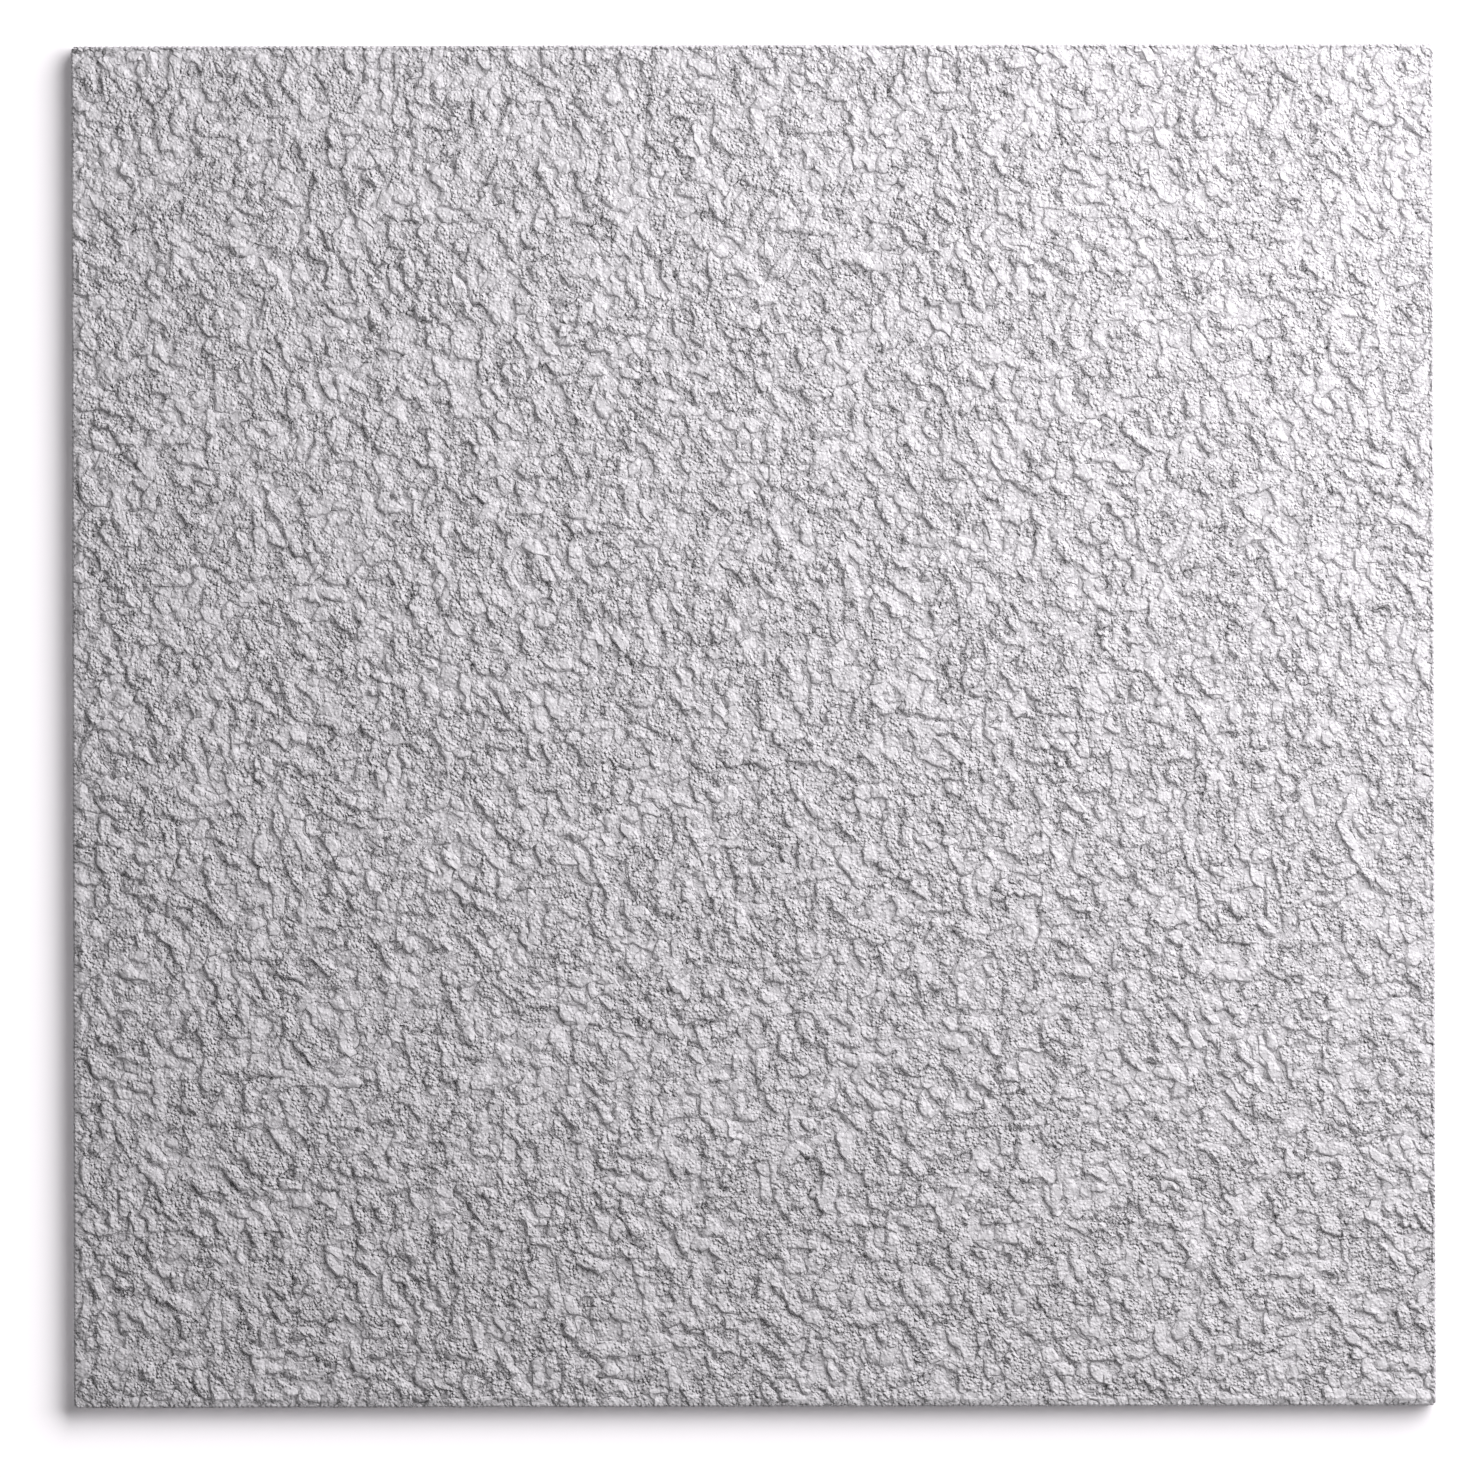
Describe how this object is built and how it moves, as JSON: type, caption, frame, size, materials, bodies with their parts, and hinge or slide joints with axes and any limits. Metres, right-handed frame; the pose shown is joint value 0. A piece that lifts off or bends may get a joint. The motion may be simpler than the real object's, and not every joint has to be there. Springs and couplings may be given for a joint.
{
  "type": "ceiling tile",
  "caption": "Square ceiling tile of white bead foam with a rough-cast face of overlapping flat-topped dabs and a flat back for gluing.",
  "frame": {"origin": "middle of the flat back, which is the glued side", "axes": "+Z out of the rough face, X and Y along the tile's edges"},
  "size_m": [0.5, 0.5, 0.01],
  "materials": {
    "white_foam": "matte moulded bead foam, soft white, with fine round beads showing"
  },
  "bodies": {
    "root": {"ceiling_tile": "white_foam"}
  },
  "joints": []
}
